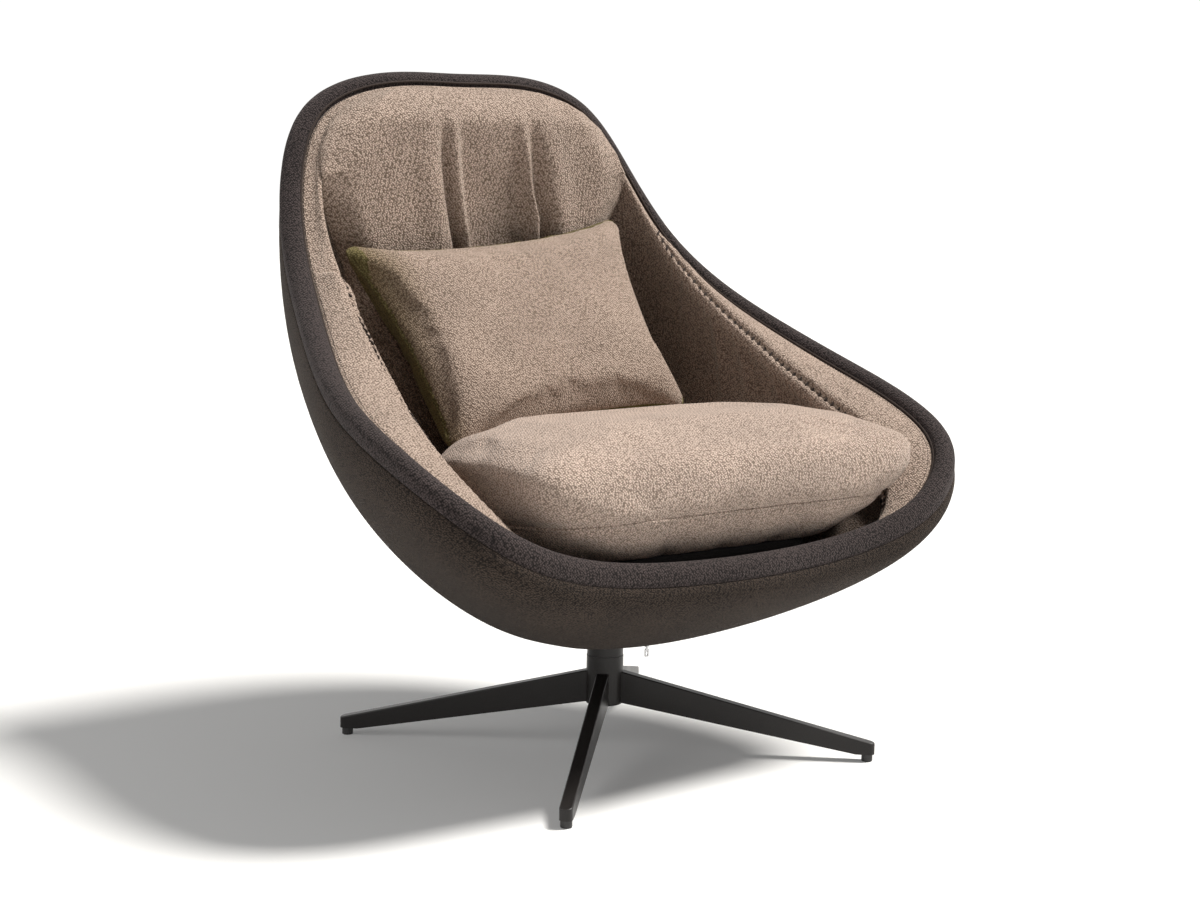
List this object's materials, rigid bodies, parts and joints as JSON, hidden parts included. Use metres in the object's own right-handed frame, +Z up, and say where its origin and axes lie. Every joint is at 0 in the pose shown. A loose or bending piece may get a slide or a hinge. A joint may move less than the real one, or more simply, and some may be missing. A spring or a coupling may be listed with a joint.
{
  "type": "swivel barrel chair",
  "caption": "Upholstered egg-shaped lounge chair that turns on a low star base, with a padded rim, pleated back pad, loose seat cushion and loose lumbar pillow.",
  "frame": {"origin": "on the floor, on the swivel axis", "axes": "+Z up; the chair faces -Y; +X is to the right as seen from the front"},
  "size_m": [0.8848, 0.6753, 0.9036],
  "materials": {
    "shell_weave": "dark espresso woven fabric",
    "rim_weave": "dark charcoal woven fabric",
    "taupe_weave": "taupe pebbled knit",
    "black_metal": "satin black powder coat",
    "steel": "plain machined steel",
    "nylon": "black nylon",
    "core": "moulded shell, unfinished",
    "board": "plywood",
    "foam": "foam block",
    "zip_tape": "black zip tape",
    "zip_metal": "bright zip metal"
  },
  "bodies": {
    "base": {"hub": "black_metal", "leg_front_left": "black_metal", "leg_front_right": "black_metal", "leg_rear_left": "black_metal", "leg_rear_right": "black_metal", "leg_bolts": "steel", "foot_glides": "nylon", "hub_bolt": "steel", "hub_washer": "steel", "spindle": "steel", "thrust_washer_lower": "steel", "thrust_cage": "nylon", "thrust_balls": "steel", "retaining_washer": "steel", "retaining_clip": "steel"},
    "seat": {"swivel_sleeve": "black_metal", "swivel_plate": "steel", "lower_bush": "nylon", "upper_bush": "nylon", "thrust_washer_upper": "steel", "plate_bolts": "steel", "tee_nuts": "steel", "shell_core": "core", "outer_cover": "shell_weave", "base_panel": "shell_weave", "cover_zip": "zip_tape", "rim_roll": "rim_weave", "lining_back": "taupe_weave", "lining_left": "taupe_weave", "lining_right": "taupe_weave", "back_pad": "taupe_weave", "seat_foam": "foam", "seat_deck": "board"},
    "cushion": {"seat_cushion": "taupe_weave"},
    "pillow": {"lumbar_pillow": "taupe_weave"},
    "slider": {"zip_slider": "zip_metal"},
    "pull": {"zip_pull": "zip_metal"}
  },
  "joints": [
    {"name": "swivel", "type": "hinge", "parent": "base", "child": "seat", "pos_m": [0, 0, 0.17], "axis": [0, 0, 1], "continuous": true},
    {"name": "cushion_lift", "type": "slide", "parent": "seat", "child": "cushion", "axis": [0, -0.9063, 0.4226], "range_m": [0, 0.25]},
    {"name": "pillow_lift", "type": "slide", "parent": "seat", "child": "pillow", "axis": [0, -0.7986, 0.6018], "range_m": [0, 0.2]},
    {"name": "zip_travel", "type": "hinge", "parent": "seat", "child": "slider", "pos_m": [0, 0, 0.16], "axis": [0, 0, 1], "range_deg": [0, 300]},
    {"name": "pull_swing", "type": "hinge", "parent": "slider", "child": "pull", "pos_m": [0.0044, -0.08389, 0.1575], "axis": [0.0523, -0.9986, 0], "range_deg": [-60, 60]}
  ]
}
